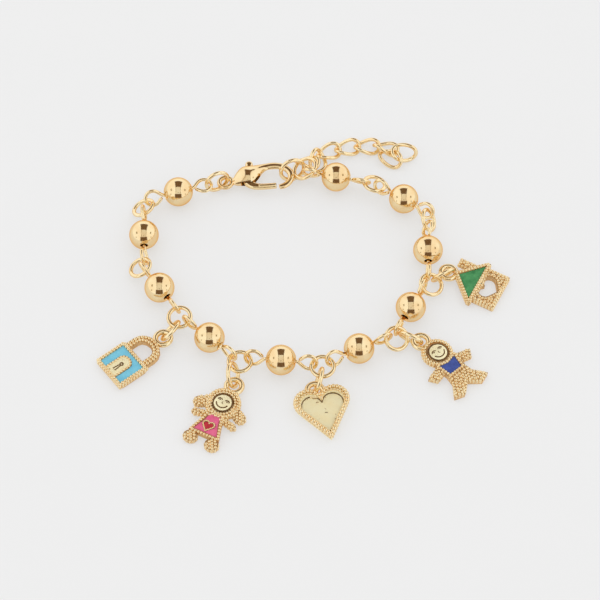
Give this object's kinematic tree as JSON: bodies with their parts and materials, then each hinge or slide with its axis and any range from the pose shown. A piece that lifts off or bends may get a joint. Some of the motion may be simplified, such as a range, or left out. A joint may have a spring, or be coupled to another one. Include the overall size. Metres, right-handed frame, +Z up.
{
  "type": "charm bracelet",
  "caption": "Gold-coloured bracelet of round beads on eye pins, closed with a lobster clasp, with an extension chain and enamelled cast charms, lying flat.",
  "frame": {"origin": "middle of the footprint at the surface that the bracelet lies on", "axes": "+X along its longest side, from the padlock charm towards the house charm; +Y from the charms towards the clasp; +Z up"},
  "size_m": [0.0814, 0.0764, 0.006],
  "materials": {
    "polished_gold": "polished",
    "light_blue_enamel": "gloss enamel",
    "pink_enamel": "gloss enamel",
    "red_enamel": "gloss enamel",
    "royal_blue_enamel": "gloss enamel",
    "green_enamel": "gloss enamel"
  },
  "bodies": {
    "bracelet": {"bead_01": "polished_gold", "bead_02": "polished_gold", "bead_03": "polished_gold", "bead_04": "polished_gold", "bead_05": "polished_gold", "bead_06": "polished_gold", "bead_07": "polished_gold", "bead_08": "polished_gold", "bead_09": "polished_gold", "bead_10": "polished_gold", "eye_pin_01": "polished_gold", "eye_pin_02": "polished_gold", "eye_pin_03": "polished_gold", "eye_pin_04": "polished_gold", "eye_pin_05": "polished_gold", "eye_pin_06": "polished_gold", "eye_pin_07": "polished_gold", "eye_pin_08": "polished_gold", "eye_pin_09": "polished_gold", "eye_pin_10": "polished_gold", "link_ring_12": "polished_gold", "link_ring_23": "polished_gold", "link_ring_34": "polished_gold", "link_ring_45": "polished_gold", "link_ring_56": "polished_gold", "link_ring_67": "polished_gold", "link_ring_78": "polished_gold", "link_ring_89": "polished_gold", "link_ring_910": "polished_gold", "clasp_ring": "polished_gold", "catch_ring": "polished_gold", "tail_ring": "polished_gold", "tail_link_1": "polished_gold", "tail_link_2": "polished_gold", "tail_link_3": "polished_gold", "tail_link_4": "polished_gold", "tail_link_5": "polished_gold", "tail_link_6": "polished_gold", "tail_link_7": "polished_gold", "tail_link_8": "polished_gold", "charm_ring_padlock": "polished_gold", "charm_ring_girl": "polished_gold", "charm_ring_heart": "polished_gold", "charm_ring_boy": "polished_gold", "charm_ring_house": "polished_gold", "charm_padlock": "polished_gold", "charm_girl": "polished_gold", "charm_heart": "polished_gold", "charm_boy": "polished_gold", "charm_house": "polished_gold", "clasp_body": "polished_gold", "padlock_enamel": "light_blue_enamel", "dress_enamel": "pink_enamel", "dress_heart_enamel": "red_enamel", "shirt_enamel": "royal_blue_enamel", "roof_enamel": "green_enamel"},
    "lever": {"clasp_lever": "polished_gold"}
  },
  "joints": [
    {"name": "lever_hinge", "type": "hinge", "parent": "bracelet", "child": "lever", "pos_m": [-0.01227, 0.02734, 0.00173], "axis": [-0.0382, -0.0037, 0.9993], "range_deg": [0, 20], "stiffness_Nm_per_rad": 0.03, "springref_deg": -9.74}
  ]
}
